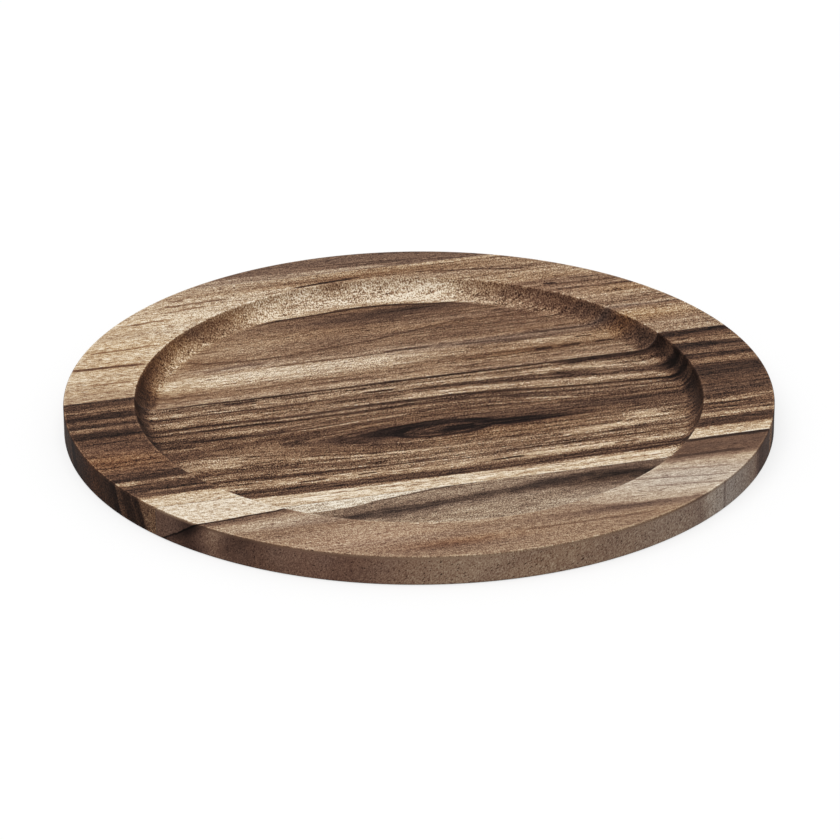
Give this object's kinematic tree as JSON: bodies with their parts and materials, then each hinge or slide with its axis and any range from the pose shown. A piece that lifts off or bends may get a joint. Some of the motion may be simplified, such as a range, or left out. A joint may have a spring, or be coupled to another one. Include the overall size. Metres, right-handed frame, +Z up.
{
  "type": "pizza serving board",
  "caption": "Round wooden serving board of staves glued edge to edge, with a flat rim round a shallow coved dish that holds a pizza or other flat food.",
  "frame": {"origin": "centre of the round underside, on the plane that the board rests on", "axes": "+Z up out of the dish, X along the grain and the glue lines, -Y towards the front stave"},
  "size_m": [0.35, 0.35, 0.015],
  "materials": {
    "rear_wood": "oiled satin, dark heartwood with a pale sapwood sliver",
    "back_wood": "oiled satin, tan sapwood over brown heartwood",
    "middle_wood": "oiled satin, dark striped heartwood with a knot figure",
    "front_wood": "oiled satin, cream sapwood and grey-brown heartwood",
    "glue": "cured wood glue, dark and sanded flush"
  },
  "bodies": {
    "root": {"rear_stave": "rear_wood", "back_stave": "back_wood", "middle_stave": "middle_wood", "front_stave": "front_wood", "rear_glue_line": "glue", "back_glue_line": "glue", "front_glue_line": "glue"}
  },
  "joints": []
}
